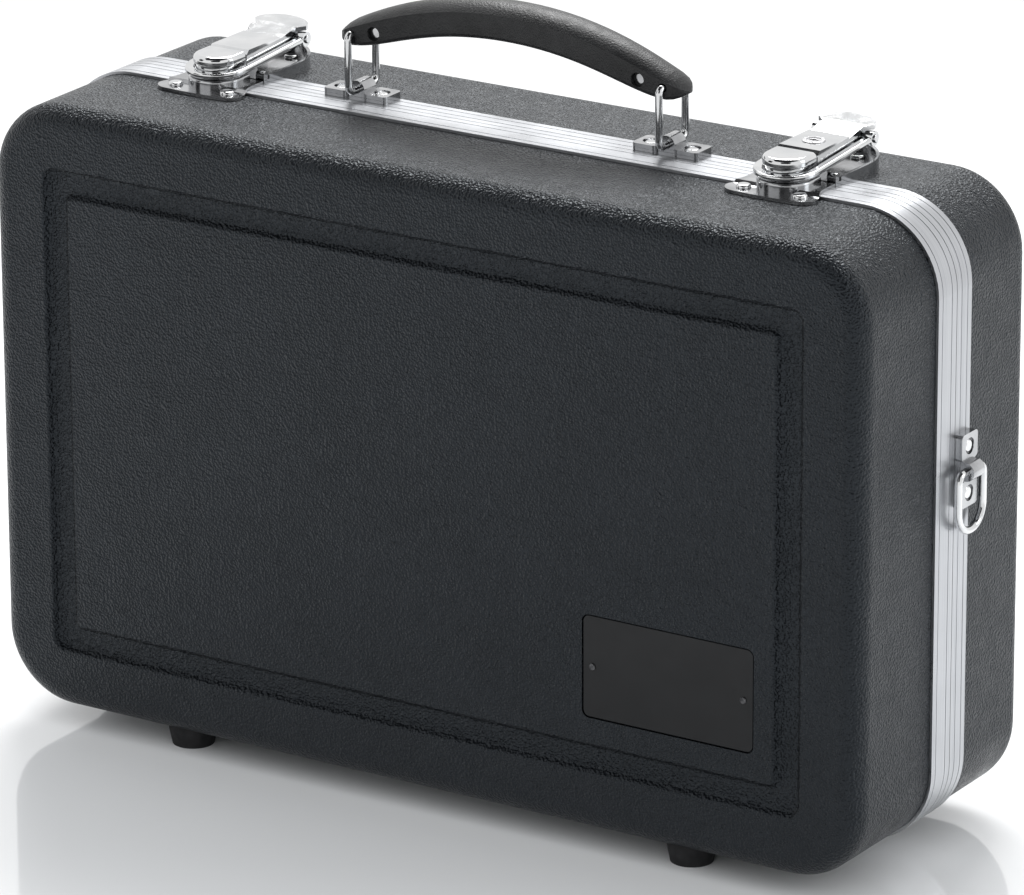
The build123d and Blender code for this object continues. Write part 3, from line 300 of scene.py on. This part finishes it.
def toneAndShine(tree, shader, place, finish):
    tone = noise(tree, place, finish["tonePerMetre"])
    colourFrom(tree, shader, tone, finish["dark"], finish["light"])
    shine = noise(tree, place, finish["shinePerMetre"], finish.get("shineDetail", 3.0))
    roughnessFrom(tree, shader, shine, finish["shiny"], finish["dull"])


pebble = {
    "driftScale": 0.6,          # the borders wander in waves this much coarser than the cells
    "driftDetail": 1.0,
    "smoothness": 0.55,
    "fineDetail": 2.0,
}
pebbledFinish = {
    "mouldedShell": {
        "level": 0.38,
        "glossTint": (0.80, 0.90, 1.0, 1.0),
        "dark": (0.0022, 0.0027, 0.0038),
        "light": (0.0040, 0.0047, 0.0062),
        "tonePerMetre": 22.0,
        "shiny": 0.30,
        "dull": 0.40,
        "shinePerMetre": 140.0,
        "cellsPerMetre": 1100.0,
        "wander": 0.0007,
        "cellShare": 0.9,
        "cellDepth": 0.0007,
        "finePerMetre": 1700.0,
        "fineShare": 0.8,
        "fineDepth": 0.00016,
    },
    "gripPlastic": {
        "level": 0.4,
        "glossTint": (1.0, 1.0, 1.0, 1.0),
        "dark": (0.010, 0.0103, 0.011),
        "light": (0.0165, 0.017, 0.018),
        "tonePerMetre": 45.0,
        "shiny": 0.36,
        "dull": 0.50,
        "shinePerMetre": 240.0,
        "cellsPerMetre": 1350.0,
        "wander": 0.0004,
        "cellShare": 0.8,
        "cellDepth": 0.00013,
        "finePerMetre": 3800.0,
        "fineShare": 0.4,
        "fineDepth": 0.00003,
    },
}


def pebbles(tree, place, scale, wander):
    # rounded cells with wandering borders, as moulded leather grain has
    drift = addNode(tree, "ShaderNodeTexNoise", {
        "Scale": scale * pebble["driftScale"],
        "Detail": pebble["driftDetail"],
    })
    tree.links.new(place, drift.inputs["Vector"])
    reach = {1: (wander, wander, wander)}
    spread = addNode(tree, "ShaderNodeVectorMath", operation="MULTIPLY_ADD", inputs=reach)
    tree.links.new(drift.outputs["Color"], spread.inputs[0])
    tree.links.new(place, spread.inputs[2])
    values = {"Scale": scale, "Smoothness": pebble["smoothness"]}
    cells = addNode(tree, "ShaderNodeTexVoronoi", values, feature="SMOOTH_F1")
    tree.links.new(spread.outputs[0], cells.inputs["Vector"])
    return cells.outputs["Distance"]


def pebbled(name):
    finish = pebbledFinish[name]
    material, tree, shader = startFinish(name, level=finish["level"])
    shader.inputs["Specular Tint"].default_value = finish["glossTint"]
    place = objectPlace(tree)
    toneAndShine(tree, shader, place, finish)
    cells = pebbles(tree, place, finish["cellsPerMetre"], finish["wander"])
    coarse = reliefFrom(tree, cells, finish["cellShare"], finish["cellDepth"])
    grain = noise(tree, place, finish["finePerMetre"], pebble["fineDetail"])
    fine = reliefFrom(tree, grain, finish["fineShare"], finish["fineDepth"], coarse)
    tree.links.new(fine, shader.inputs["Normal"])
    return material


plainFinish = {
    "darkRivet": {
        "metal": 1.0,
        "dark": (0.05, 0.051, 0.054),
        "light": (0.13, 0.13, 0.135),
        "tonePerMetre": 600.0,
        "shiny": 0.22,
        "dull": 0.38,
        "shinePerMetre": 900.0,
        "grainPerMetre": 2500.0,
        "grainShare": 0.3,
        "grainDepth": 0.00002,
    },
    "satinPlate": {             # the nameplate is left bare: smooth black enamel
        "level": 0.35,
        "dark": (0.0022, 0.0026, 0.0036),
        "light": (0.0036, 0.0041, 0.0052),
        "tonePerMetre": 35.0,
        "shiny": 0.34,
        "dull": 0.44,
        "shinePerMetre": 180.0,
        "grainPerMetre": 1500.0,
        "grainShare": 0.3,
        "grainDepth": 0.00002,
    },
    "footRubber": {
        "level": 0.3,
        "dark": (0.010, 0.010, 0.011),
        "light": (0.022, 0.022, 0.023),
        "tonePerMetre": 160.0,
        "shiny": 0.68,
        "dull": 0.88,
        "shinePerMetre": 400.0,
        "grainPerMetre": 2200.0,
        "grainDetail": 3.0,
        "grainShare": 0.5,
        "grainDepth": 0.00005,
    },
    "turnedSteel": {
        "metal": 1.0,
        "stretch": (1.0, 1.0, 5.0),
        "dark": (0.42, 0.42, 0.43),
        "light": (0.60, 0.60, 0.61),
        "tonePerMetre": 500.0,
        "shiny": 0.22,
        "dull": 0.40,
        "shinePerMetre": 900.0,
        "grainPerMetre": 2500.0,
        "grainShare": 0.3,
        "grainDepth": 0.00002,
    },
}


def plain(name):
    finish = plainFinish[name]
    metal, level = finish.get("metal", 0.0), finish.get("level", 0.5)
    material, tree, shader = startFinish(name, metal, level)
    place = objectPlace(tree, finish.get("stretch", (1.0, 1.0, 1.0)))
    toneAndShine(tree, shader, place, finish)
    grain = noise(tree, place, finish["grainPerMetre"], finish.get("grainDetail", 2.0))
    relief = reliefFrom(tree, grain, finish["grainShare"], finish["grainDepth"])
    tree.links.new(relief, shader.inputs["Normal"])
    return material


bandFinish = {
    "dark": (0.43, 0.44, 0.46),
    "light": (0.53, 0.54, 0.56),
    "darkBelow": 0.3,
    "lightAbove": 0.7,
    "acrossPerMetre": 2600.0,   # brush lines follow the band, so they change across it, along Y
    "alongPerMetre": 9.0,
    "lineRough": 0.6,
    "lineShare": 0.3,
    "lineDepth": 0.00002,
    "shiny": 0.27,
    "dull": 0.38,
    "shinePerMetre": 60.0,
}


def brushedBand():
    material, tree, shader = startFinish("brushedBand", metal=1.0)
    along, across = bandFinish["alongPerMetre"], bandFinish["acrossPerMetre"]
    brushed = objectPlace(tree, (along, across, along))
    lines = noise(tree, brushed, rough=bandFinish["lineRough"])
    colourFrom(
        tree, shader, lines, bandFinish["dark"], bandFinish["light"],
        bandFinish["darkBelow"], bandFinish["lightAbove"],
    )
    patches = noise(tree, objectPlace(tree), bandFinish["shinePerMetre"])
    roughnessFrom(tree, shader, patches, bandFinish["shiny"], bandFinish["dull"])
    relief = reliefFrom(tree, lines, bandFinish["lineShare"], bandFinish["lineDepth"])
    tree.links.new(relief, shader.inputs["Normal"])
    return material


chromeWear = {                  # what both kinds of plating have in common
    "tonePerMetre": 90.0,
    "shinePerMetre": 260.0,
    "shineDetail": 4.0,
    "wavesPerMetre": 220.0,
    "waveDetail": 1.0,
    "waveShare": 0.35,
    "waveDepth": 0.00006,
    "scratchStretch": (500.0, 90.0, 500.0),
    "scratchDetail": 4.0,
    "scratchRough": 0.7,
    "scratchShare": 0.2,
    "scratchDepth": 0.00001,
}
chromeFinish = {
    "polishedChrome": {
        "dark": (0.64, 0.65, 0.66),
        "light": (0.74, 0.745, 0.75),
        "shiny": 0.05,
        "dull": 0.13,
    },
    "pressedChrome": {
        "dark": (0.34, 0.345, 0.355),
        "light": (0.52, 0.525, 0.535),
        "shiny": 0.10,
        "dull": 0.20,
    },
}


def platedChrome(name):
    finish = {**chromeWear, **chromeFinish[name]}
    material, tree, shader = startFinish(name, metal=1.0)
    place = objectPlace(tree)
    toneAndShine(tree, shader, place, finish)
    scratched = objectPlace(tree, finish["scratchStretch"])
    scratches = noise(
        tree, scratched, detail=finish["scratchDetail"], rough=finish["scratchRough"],
    )
    waves = noise(tree, place, finish["wavesPerMetre"], finish["waveDetail"])
    wavy = reliefFrom(tree, waves, finish["waveShare"], finish["waveDepth"])
    relief = reliefFrom(
        tree, scratches, finish["scratchShare"], finish["scratchDepth"], wavy,
    )
    tree.links.new(relief, shader.inputs["Normal"])
    return material


plushTones = {
    "plushPile": ((0.013, 0.0135, 0.016), (0.040, 0.041, 0.046)),
    "boardPlush": ((0.018, 0.0185, 0.021), (0.048, 0.049, 0.055)),
}
plushFinish = {
    "level": 0.1,
    "sheen": 0.7,
    "sheenRoughness": 0.35,
    "sheenTint": (0.75, 0.78, 0.85, 1.0),
    "napPerMetre": 55.0,        # patches in which the pile lies one way
    "napDetail": 4.0,
    "napRough": 0.6,
    "napTone": 0.4,
    "napShare": 0.3,
    "napDepth": 0.0006,
    "fibresPerMetre": 2600.0,
    "fibreRough": 0.7,
    "fibreTone": 0.6,
    "fibreShare": 0.8,
    "fibreDepth": 0.00025,
    "shiny": 0.85,
    "dull": 0.98,
}


def plushPile(name):
    finish = plushFinish
    material, tree, shader = startFinish(name, level=finish["level"])
    shader.inputs["Sheen Weight"].default_value = finish["sheen"]
    shader.inputs["Sheen Roughness"].default_value = finish["sheenRoughness"]
    shader.inputs["Sheen Tint"].default_value = finish["sheenTint"]
    place = objectPlace(tree)
    nap = noise(tree, place, finish["napPerMetre"], finish["napDetail"], finish["napRough"])
    fibres = noise(tree, place, finish["fibresPerMetre"], rough=finish["fibreRough"])
    fibreTone = {1: finish["fibreTone"]}
    tone = addNode(tree, "ShaderNodeMath", operation="MULTIPLY_ADD", inputs=fibreTone)
    tree.links.new(fibres, tone.inputs[0])
    part = addNode(tree, "ShaderNodeMath", {1: finish["napTone"]}, operation="MULTIPLY")
    tree.links.new(nap, part.inputs[0])
    tree.links.new(part.outputs[0], tone.inputs[2])
    colourFrom(tree, shader, tone.outputs[0], *plushTones[name])
    roughnessFrom(tree, shader, nap, finish["shiny"], finish["dull"])
    lay = reliefFrom(tree, nap, finish["napShare"], finish["napDepth"])
    relief = reliefFrom(tree, fibres, finish["fibreShare"], finish["fibreDepth"], lay)
    tree.links.new(relief, shader.inputs["Normal"])
    return material


tapeFinish = {
    "level": 0.2,
    "threadsPerMetre": 520.0,
    "distortion": 0.4,
    "threadShare": 0.8,
    "threadDepth": 0.00015,
    "dark": (0.012, 0.012, 0.013),
    "light": (0.05, 0.05, 0.055),
    "darkBelow": 0.1,
    "lightAbove": 0.8,
    "shiny": 0.75,
    "dull": 0.92,
    "shinePerMetre": 800.0,
    "shineDetail": 2.0,
}


def wovenTape():
    finish = tapeFinish
    material, tree, shader = startFinish("wovenTape", level=finish["level"])
    place = objectPlace(tree)
    cross = addNode(tree, "ShaderNodeMath", operation="MULTIPLY")
    values = {"Scale": finish["threadsPerMetre"], "Distortion": finish["distortion"]}
    for index, way in enumerate("XZ"):
        threads = addNode(
            tree, "ShaderNodeTexWave", values, wave_type="BANDS", bands_direction=way,
        )
        tree.links.new(place, threads.inputs["Vector"])
        tree.links.new(threads.outputs["Fac"], cross.inputs[index])
    colourFrom(
        tree, shader, cross.outputs[0], finish["dark"], finish["light"],
        finish["darkBelow"], finish["lightAbove"],
    )
    shine = noise(tree, place, finish["shinePerMetre"], finish["shineDetail"])
    roughnessFrom(tree, shader, shine, finish["shiny"], finish["dull"])
    weave = reliefFrom(tree, cross.outputs[0], finish["threadShare"], finish["threadDepth"])
    tree.links.new(weave, shader.inputs["Normal"])
    return material


def eachSide(*endings):
    return [side + "_" + ending for side in ("left", "right") for ending in endings]


lining = plushPile("plushPile")
dressing = [
    (pebbled("mouldedShell"), ["front_shell", "rear_shell"]),
    (brushedBand(), ["front_band", "rear_band"]),
    (plain("satinPlate"), ["nameplate"]),
    (plain("footRubber"), ["front_feet", "rear_feet"]),
    (pebbled("gripPlastic"), ["handle_grip"]),
    (plushPile("boardPlush"), ["board_rail", "accessory_board"]),
    (plain("turnedSteel"), [
        "front_foot_screws", "rear_foot_screws", "hinge_pins", "board_pins",
        "lock_collar", "lock_plug",
    ]),
    (plain("darkRivet"), ["nameplate_rivets"]),
    (platedChrome("pressedChrome"), [
        "base_hinge_leaves", "lid_hinge_leaves", "grip_pins",
        *eachSide("catch_plate", "latch_base", "handle_bracket", "ring_bracket"),
    ]),
    (platedChrome("polishedChrome"), [
        "base_hinge_rivets", "lid_hinge_rivets",
        *eachSide("catch_head", "catch_rivets", "latch_base_rivets", "lever_pin"),
        *eachSide("latch_lever", "ring_pin", "latch_ring", "handle_bracket_rivets"),
        *eachSide("handle_link", "ring_bracket_rivets", "strap_ring"),
    ]),
]
for material, names in dressing:
    for name in names:
        nodes[name].data.materials.clear()
        nodes[name].data.materials.append(material)
print("stage 3: finishes on the hard parts")


# soft pieces

block = {
    "cornerSteps": 8,           # faces round a corner, and round a softened rim
    "rimSteps": 6,
    "alongDepth": 0.99,         # an edge or a face counts as set along Y above these shares
    "facingDepth": 0.9,
    "smoothing": 0.5,
    "swayMiddle": 0.5,
    "swaySize": 0.03,
}


def selectOnly(piece):
    bpy.ops.object.select_all(action="DESELECT")
    piece.select_set(True)
    bpy.context.view_layer.objects.active = piece


def pick(piece, kind, wanted):
    bpy.ops.mesh.select_mode(type=kind)
    bpy.ops.mesh.select_all(action="DESELECT")
    shape = bmesh.from_edit_mesh(piece.data)
    for element in shape.edges if kind == "EDGE" else shape.faces:
        if wanted(element):
            element.select_set(True)
    bmesh.update_edit_mesh(piece.data)


def addBlock(name, low, high, radius, half=0, far=0, farSoft=0.0, drawIn=0.0):
    # a block whose corners are rounded in the front view: all, or one half's, the upper (1) or
    # the lower (-1). far says which Y side is the back, drawn in and softened
    bpy.ops.object.select_all(action="DESELECT")
    middle = [(a + b) / 2 for a, b in zip(low, high)]
    size = [b - a for a, b in zip(low, high)]
    bpy.ops.mesh.primitive_cube_add(size=1.0, location=middle)
    piece = bpy.context.object
    piece.name = name
    piece.scale = size
    bpy.ops.object.transform_apply(location=True, rotation=True, scale=True)

    def isCorner(edge):
        first, last = (point.co for point in edge.verts)
        height = (first.z + last.z) / 2 - middle[2]
        along = abs((last - first).normalized().y)
        return along > block["alongDepth"] and half * height >= 0

    def isBack(face):
        return face.normal.y * far > block["facingDepth"]

    bpy.ops.object.mode_set(mode="EDIT")
    pick(piece, "EDGE", isCorner)
    bpy.ops.mesh.bevel(offset=radius, segments=block["cornerSteps"], affect="EDGES")
    if far:
        pick(piece, "FACE", isBack)
        farY = high[1] if far > 0 else low[1]
        bpy.ops.transform.resize(
            value=(1.0 - 2 * drawIn / size[0], 1.0, 1.0 - 2 * drawIn / size[2]),
            center_override=(middle[0], farY, middle[2]),
        )
        if farSoft:
            bpy.ops.mesh.bevel(offset=farSoft, segments=block["rimSteps"], affect="EDGES")
    bpy.ops.object.mode_set(mode="OBJECT")
    return piece


def cutOut(piece, cutter):
    selectOnly(piece)
    cut = piece.modifiers.new("hollow", "BOOLEAN")
    cut.operation = "DIFFERENCE"
    cut.solver = "EXACT"
    cut.object = cutter
    bpy.ops.object.modifier_apply(modifier=cut.name)
    bpy.data.objects.remove(cutter, do_unlink=True)


def soften(piece, voxel, passes, sway, swaySize=block["swaySize"]):
    # even quads, rounded rims and the slight unevenness of cloth over foam
    selectOnly(piece)
    even = piece.modifiers.new("evenMesh", "REMESH")
    even.mode = "VOXEL"
    even.voxel_size = voxel
    even.use_smooth_shade = True
    bpy.ops.object.modifier_apply(modifier=even.name)
    rounded = piece.modifiers.new("roundedRims", "SMOOTH")
    rounded.factor = block["smoothing"]
    rounded.iterations = passes
    bpy.ops.object.modifier_apply(modifier=rounded.name)
    clouds = bpy.data.textures.new(piece.name + "Sway", "CLOUDS")
    clouds.noise_scale = swaySize
    waves = piece.modifiers.new("sway", "DISPLACE")
    waves.texture = clouds
    waves.texture_coords = "LOCAL"
    waves.strength = sway
    waves.mid_level = block["swayMiddle"]
    bpy.ops.object.modifier_apply(modifier=waves.name)


def finishSoft(piece, body, replaced):
    piece.data.materials.clear()
    piece.data.materials.append(lining)
    selectOnly(piece)
    bpy.ops.object.shade_smooth()
    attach(piece, body)
    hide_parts(replaced)


caseShape = {
    "corner": 0.0297,           # the band's corner radius
    "halfWidth": 0.184,         # half the band's width
    "draft": 0.2,               # degrees by which the shells lean in
}
lean = math.tan(math.radians(caseShape["draft"]))

insert = {
    "wall": 0.009,              # foam outside the hollows
    "between": 0.010,           # foam between two hollows
    "corner": 0.008,
    "overcut": 0.01,            # how far a cutter reaches past the foam
    "jointDepth": 0.034,
    "lowerJoint": (0.262, 0.042),   # each long hollow's length and height
    "upperJoint": (0.232, 0.040),
    "bellLong": 0.110,
    "lowerWall": 0.015,         # foam below the bell's hollow
    "tray": (0.025, 0.026),     # height and depth
    "boardLedge": 0.004,
    "boardThick": 0.003,
    "boardCorner": 0.003,
    "boardPlay": 0.0012,        # room round the board, and behind it
    "boardDrop": 0.0006,
    "voxel": 0.0018,
    "passes": 5,
    "sway": 0.0009,
    "floorEdge": 0.0046,
    "floorVoxel": 0.003,
    "floorPasses": 2,
    "floorSway": 0.0004,
}


def cornerOf(high):
    # the corner radius that keeps an inner block even with the band
    return caseShape["corner"] - (caseShape["halfWidth"] - high[0])


def cutHollow(piece, front, left, top, long, tall, depth, corner=insert["corner"]):
    low = (left, front - insert["overcut"], top - tall)
    high = (left + long, front + depth, top)
    cutOut(piece, addBlock("cutter", low, high, corner))


def makeJointBlock():
    low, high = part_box("joint_block")
    piece = addBlock("jointPlush", low, high, cornerOf(high), half=1)
    front = low[1]
    left = low[0] + insert["wall"]
    right = high[0] - insert["wall"]
    top = high[2] - insert["wall"]
    depth = insert["jointDepth"]
    # the long joint, then the barrel or the mouthpiece beside it
    for long, tall in (insert["lowerJoint"], insert["upperJoint"]):
        cutHollow(piece, front, left, top, long, tall, depth)
        shortLeft = left + long + insert["between"]
        cutHollow(piece, front, shortLeft, top, right - shortLeft, tall, depth)
        top -= tall + insert["between"]
    soften(piece, insert["voxel"], insert["passes"], insert["sway"])
    finishSoft(piece, "base", "joint_block")


def makeBellBlock():
    low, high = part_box("bell_block")
    boardLow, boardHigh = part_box("accessory_board")
    railLow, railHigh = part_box("board_rail")
    piece = addBlock("bellPlush", low, high, cornerOf(high), half=-1)
    front = low[1]
    left = low[0] + insert["wall"]
    top = high[2] - insert["wall"]
    long = insert["bellLong"]
    tall = top - low[2] - insert["lowerWall"]
    cutHollow(piece, front, left, top, long, tall, high[1] - front + insert["overcut"])
    trayLeft = left + long + insert["between"]
    trayLong = high[0] - insert["wall"] - trayLeft
    tall, depth = insert["tray"]
    cutHollow(piece, front, trayLeft, top, trayLong, tall, depth)
    # a shallow rebate for the board and its rail, then the hollow under them
    play = insert["boardPlay"]
    cutHollow(
        piece, front, boardLow[0] - play, railHigh[2] + play,
        boardHigh[0] - boardLow[0] + 2 * play, railHigh[2] - boardLow[2] + 2 * play,
        insert["boardThick"] + insert["boardDrop"], insert["boardCorner"],
    )
    ledge = insert["boardLedge"]
    cutHollow(
        piece, front, trayLeft + ledge, railLow[2], trayLong - 2 * ledge,
        railLow[2] - boardLow[2] - ledge, insert["jointDepth"],
    )
    soften(piece, insert["voxel"], insert["passes"], insert["sway"])
    finishSoft(piece, "base", "bell_block")


def makeInsertFloor():
    low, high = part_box("insert_floor")
    # the case leans in a little, so the CAD box is the floor's front edge
    piece = addBlock(
        "floorPlush", low, high, cornerOf(high),
        far=1, farSoft=insert["floorEdge"], drawIn=(high[1] - low[1]) * lean,
    )
    soften(piece, insert["floorVoxel"], insert["floorPasses"], insert["floorSway"])
    finishSoft(piece, "base", "insert_floor")


lid = {
    "padInset": 0.005,          # the pad's edge hides behind the rim lining
    "padSoft": 0.0046,
    "padCrown": 0.003,
    "crownPower": 4,            # how flat the crown is in its middle
    "padVoxel": 0.002,
    "padPasses": 6,
    "padSway": 0.0006,
    "padSwaySize": 0.05,
    "rimThick": 0.006,
    "rimOvercut": 0.004,
    "rimVoxel": 0.0016,
    "rimPasses": 4,
    "rimSway": 0.0005,
}


def makeLidPad():
    low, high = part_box("lid_pad")
    inset = lid["padInset"]
    radius = cornerOf(high) - inset
    low = (low[0] + inset, low[1], low[2] + inset)
    high = (high[0] - inset, high[1], high[2] - inset)
    piece = addBlock("lidPadPlush", low, high, radius, far=-1, farSoft=lid["padSoft"])
    soften(piece, lid["padVoxel"], lid["padPasses"], lid["padSway"], lid["padSwaySize"])
    # the crown rises toward the pad's middle and leaves its front as it is
    halfX, halfZ = high[0], (high[2] - low[2]) / 2
    midZ = (high[2] + low[2]) / 2
    for point in piece.data.vertices:
        across = 1.0 - (point.co.x / halfX) ** lid["crownPower"]
        upward = 1.0 - ((point.co.z - midZ) / halfZ) ** lid["crownPower"]
        share = (point.co.y - low[1]) / (high[1] - low[1])
        point.co.y += lid["padCrown"] * max(across * upward, 0.0) * max(share, 0.0)
    finishSoft(piece, "lid", "lid_pad")


def makeLidRim():
    low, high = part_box("lid_rim_lining")
    radius = cornerOf(high)
    drawIn = (high[1] - low[1]) * lean
    piece = addBlock("lidRimPlush", low, high, radius, far=-1, drawIn=drawIn)
    thick, over = lid["rimThick"], lid["rimOvercut"]
    innerLow = (low[0] + thick, low[1] - over, low[2] + thick)
    innerHigh = (high[0] - thick, high[1] + over, high[2] - thick)
    inner = addBlock("cutter", innerLow, innerHigh, radius - thick, far=-1, drawIn=drawIn)
    cutOut(piece, inner)
    soften(piece, lid["rimVoxel"], lid["rimPasses"], lid["rimSway"])
    finishSoft(piece, "lid", "lid_rim_lining")


tab = {
    "thick": 0.0008,
    "lift": 0.6,                # from the CAD tab's back to the cloth's middle, in thicknesses
    "curl": 0.0006,             # how far the free end lifts from the foam
    "columns": 24,
    "rows": 20,
    "crease": 40.0,             # degrees up to which an edge is shaded smooth
}


def makePullTab():
    low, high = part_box("pull_tab")
    bpy.ops.object.select_all(action="DESELECT")
    middle = [(a + b) / 2 for a, b in zip(low, high)]
    size = [b - a for a, b in zip(low, high)]
    bpy.ops.mesh.primitive_grid_add(
        x_subdivisions=tab["columns"], y_subdivisions=tab["rows"], size=1.0,
        location=(middle[0], high[1] - tab["thick"] * tab["lift"], middle[2]),
        rotation=(math.pi / 2, 0.0, 0.0),
    )
    piece = bpy.context.object
    piece.name = "pullTabTape"
    piece.scale = (size[0], size[2], 1.0)
    bpy.ops.object.transform_apply(location=True, rotation=True, scale=True)
    for point in piece.data.vertices:
        down = max(0.0, (middle[2] - point.co.z) / (size[2] / 2))
        point.co.y -= tab["curl"] * down ** 2
    selectOnly(piece)
    cloth = piece.modifiers.new("tapeThickness", "SOLIDIFY")
    cloth.thickness = tab["thick"]
    cloth.offset = 0.0
    bpy.ops.object.modifier_apply(modifier=cloth.name)
    piece.data.materials.append(wovenTape())
    bpy.ops.object.shade_smooth_by_angle(angle=math.radians(tab["crease"]))
    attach(piece, "board")
    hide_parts("pull_tab")


makeInsertFloor()
makeJointBlock()
makeBellBlock()
print("stage 4: insert")
makeLidPad()
makeLidRim()
makePullTab()
print("stage 5: lid lining and pull tab")
